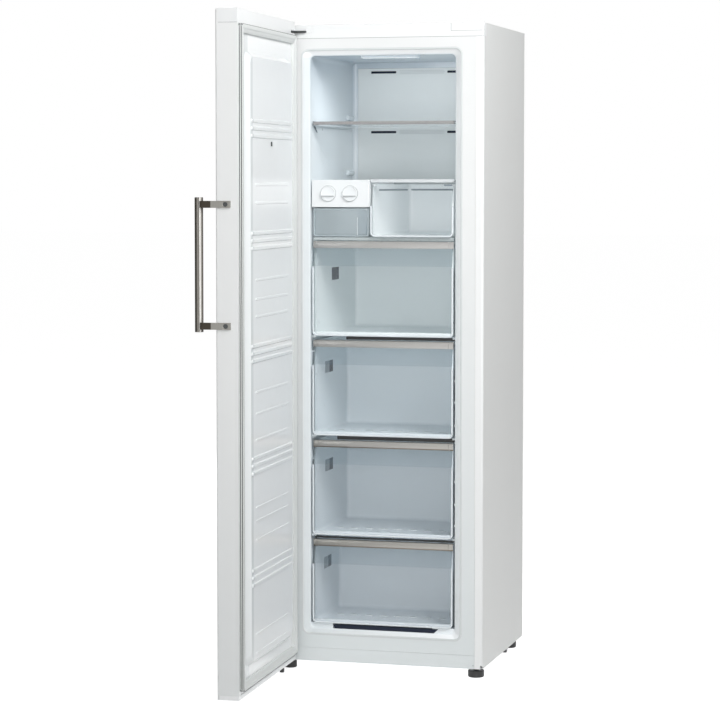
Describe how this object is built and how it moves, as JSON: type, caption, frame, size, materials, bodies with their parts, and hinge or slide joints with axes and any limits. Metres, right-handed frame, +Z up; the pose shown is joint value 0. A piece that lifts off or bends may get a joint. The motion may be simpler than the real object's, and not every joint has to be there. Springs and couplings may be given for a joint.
{
  "type": "upright freezer",
  "caption": "Tall white upright freezer with its door open, showing glass shelves, an ice maker and clear drawers behind steel-look strips.",
  "frame": {"origin": "on the floor under the middle of the cabinet's footprint", "axes": "+Z up, -Y out of the cabinet's front, +X to the right seen from the front; the door's hinges are at -X"},
  "size_m": [0.6436, 1.1706, 1.864],
  "materials": {
    "painted_white": "satin",
    "back_sheet": "satin",
    "bare_steel": "satin",
    "white_plastic": "satin",
    "liner_plastic": "gloss",
    "duct_plastic": "satin",
    "clear_plastic": "gloss",
    "lamp_plastic": "satin",
    "shelf_glass": "gloss",
    "trim_metal": "satin",
    "grey_trim": "satin",
    "seal_rubber": "matte",
    "black_rubber": "matte",
    "black_plastic": "satin",
    "black_steel": "satin",
    "compressor_black": "gloss",
    "fin_aluminium": "satin",
    "copper": "satin",
    "handle_steel": "satin",
    "insulation": "matte"
  },
  "bodies": {
    "cabinet": {"side_panel_left": "painted_white", "side_panel_right": "painted_white", "top_panel": "white_plastic", "hinge_covers": "white_plastic", "front_frame": "painted_white", "inner_liner": "liner_plastic", "cabinet_foam": "insulation", "base_plate": "bare_steel", "plinth": "painted_white", "back_panel": "back_sheet", "air_duct_panel": "duct_plastic", "evaporator_hood": "duct_plastic", "evaporator": "fin_aluminium", "fan_motor": "black_plastic", "lamp_cover": "lamp_plastic", "shelf_retainers": "liner_plastic", "glass_shelf_upper": "shelf_glass", "glass_shelf_middle": "shelf_glass", "glass_shelf_lower": "shelf_glass", "shelf_trims": "grey_trim", "shelf_trim_middle": "white_plastic", "ice_maker_housing": "white_plastic", "compressor_plate": "bare_steel", "compressor": "compressor_black", "compressor_mounts": "black_rubber", "drip_tray": "black_plastic", "refrigerant_pipes": "copper", "cord_gland": "black_plastic", "rear_feet": "black_plastic", "hinge_plate_top": "bare_steel", "hinge_bracket_bottom": "black_steel"},
    "door": {"door_outer_panel": "painted_white", "door_top_cap": "white_plastic", "door_bottom_cap": "white_plastic", "door_liner": "liner_plastic", "door_foam": "insulation", "door_gasket": "seal_rubber", "door_clip": "white_plastic", "handle_bar": "handle_steel", "handle_brackets": "handle_steel", "handle_screws": "handle_steel"},
    "drawer_body_1": {"drawer_1": "clear_plastic", "drawer_strip_1": "trim_metal"},
    "drawer_body_2": {"drawer_2": "clear_plastic", "drawer_strip_2": "trim_metal"},
    "drawer_body_3": {"drawer_3": "clear_plastic", "drawer_strip_3": "trim_metal"},
    "drawer_body_4": {"drawer_4": "clear_plastic", "drawer_strip_4": "trim_metal"},
    "small_drawer_body": {"small_drawer": "clear_plastic"},
    "ice_bin_body": {"ice_bin": "clear_plastic"},
    "ice_twister_left": {"ice_knob_left": "white_plastic", "ice_tray_left": "white_plastic"},
    "ice_twister_right": {"ice_knob_right": "white_plastic", "ice_tray_right": "white_plastic"},
    "fan_rotor": {"fan_blade": "white_plastic"},
    "front_foot_body_left": {"front_foot_left": "black_plastic"},
    "roller_body_left": {"roller_left": "black_plastic"},
    "front_foot_body_right": {"front_foot_right": "black_plastic"},
    "roller_body_right": {"roller_right": "black_plastic"}
  },
  "joints": [
    {"name": "door_swing", "type": "hinge", "parent": "cabinet", "child": "door", "pos_m": [-0.2755, -0.314, 0], "axis": [0, 0, -1], "range_deg": [-87.5, 27.5]},
    {"name": "drawer_1_slide", "type": "slide", "parent": "cabinet", "child": "drawer_body_1", "axis": [0, -1, 0], "range_m": [0, 0.3]},
    {"name": "drawer_2_slide", "type": "slide", "parent": "cabinet", "child": "drawer_body_2", "axis": [0, -1, 0], "range_m": [0, 0.26]},
    {"name": "drawer_3_slide", "type": "slide", "parent": "cabinet", "child": "drawer_body_3", "axis": [0, -1, 0], "range_m": [0, 0.26]},
    {"name": "drawer_4_slide", "type": "slide", "parent": "cabinet", "child": "drawer_body_4", "axis": [0, -1, 0], "range_m": [0, 0.19]},
    {"name": "small_drawer_slide", "type": "slide", "parent": "cabinet", "child": "small_drawer_body", "axis": [0, -1, 0], "range_m": [0, 0.28]},
    {"name": "ice_bin_slide", "type": "slide", "parent": "cabinet", "child": "ice_bin_body", "axis": [0, -1, 0], "range_m": [0, 0.2]},
    {"name": "ice_twist_left", "type": "hinge", "parent": "cabinet", "child": "ice_twister_left", "pos_m": [-0.161, -0.257, 1.3765], "axis": [0, 1, 0], "range_deg": [0, 115], "stiffness_Nm_per_rad": 0.12},
    {"name": "ice_twist_right", "type": "hinge", "parent": "cabinet", "child": "ice_twister_right", "pos_m": [-0.096, -0.257, 1.3765], "axis": [0, 1, 0], "range_deg": [0, 115], "stiffness_Nm_per_rad": 0.12},
    {"name": "fan_spin", "type": "hinge", "parent": "cabinet", "child": "fan_rotor", "pos_m": [0, 0.143, 0.84], "axis": [0, 1, 0], "continuous": true},
    {"name": "front_foot_turn_left", "type": "hinge", "parent": "cabinet", "child": "front_foot_body_left", "pos_m": [-0.284, -0.235, 0.02], "axis": [0, 0, 1], "continuous": true},
    {"name": "front_foot_turn_right", "type": "hinge", "parent": "cabinet", "child": "front_foot_body_right", "pos_m": [0.2687, -0.23, 0.02], "axis": [0, 0, 1], "continuous": true},
    {"name": "roller_spin_left", "type": "hinge", "parent": "cabinet", "child": "roller_body_left", "pos_m": [-0.268, 0.143, 0.017], "axis": [1, 0, 0], "continuous": true},
    {"name": "roller_spin_right", "type": "hinge", "parent": "cabinet", "child": "roller_body_right", "pos_m": [0.268, 0.143, 0.017], "axis": [1, 0, 0], "continuous": true}
  ]
}
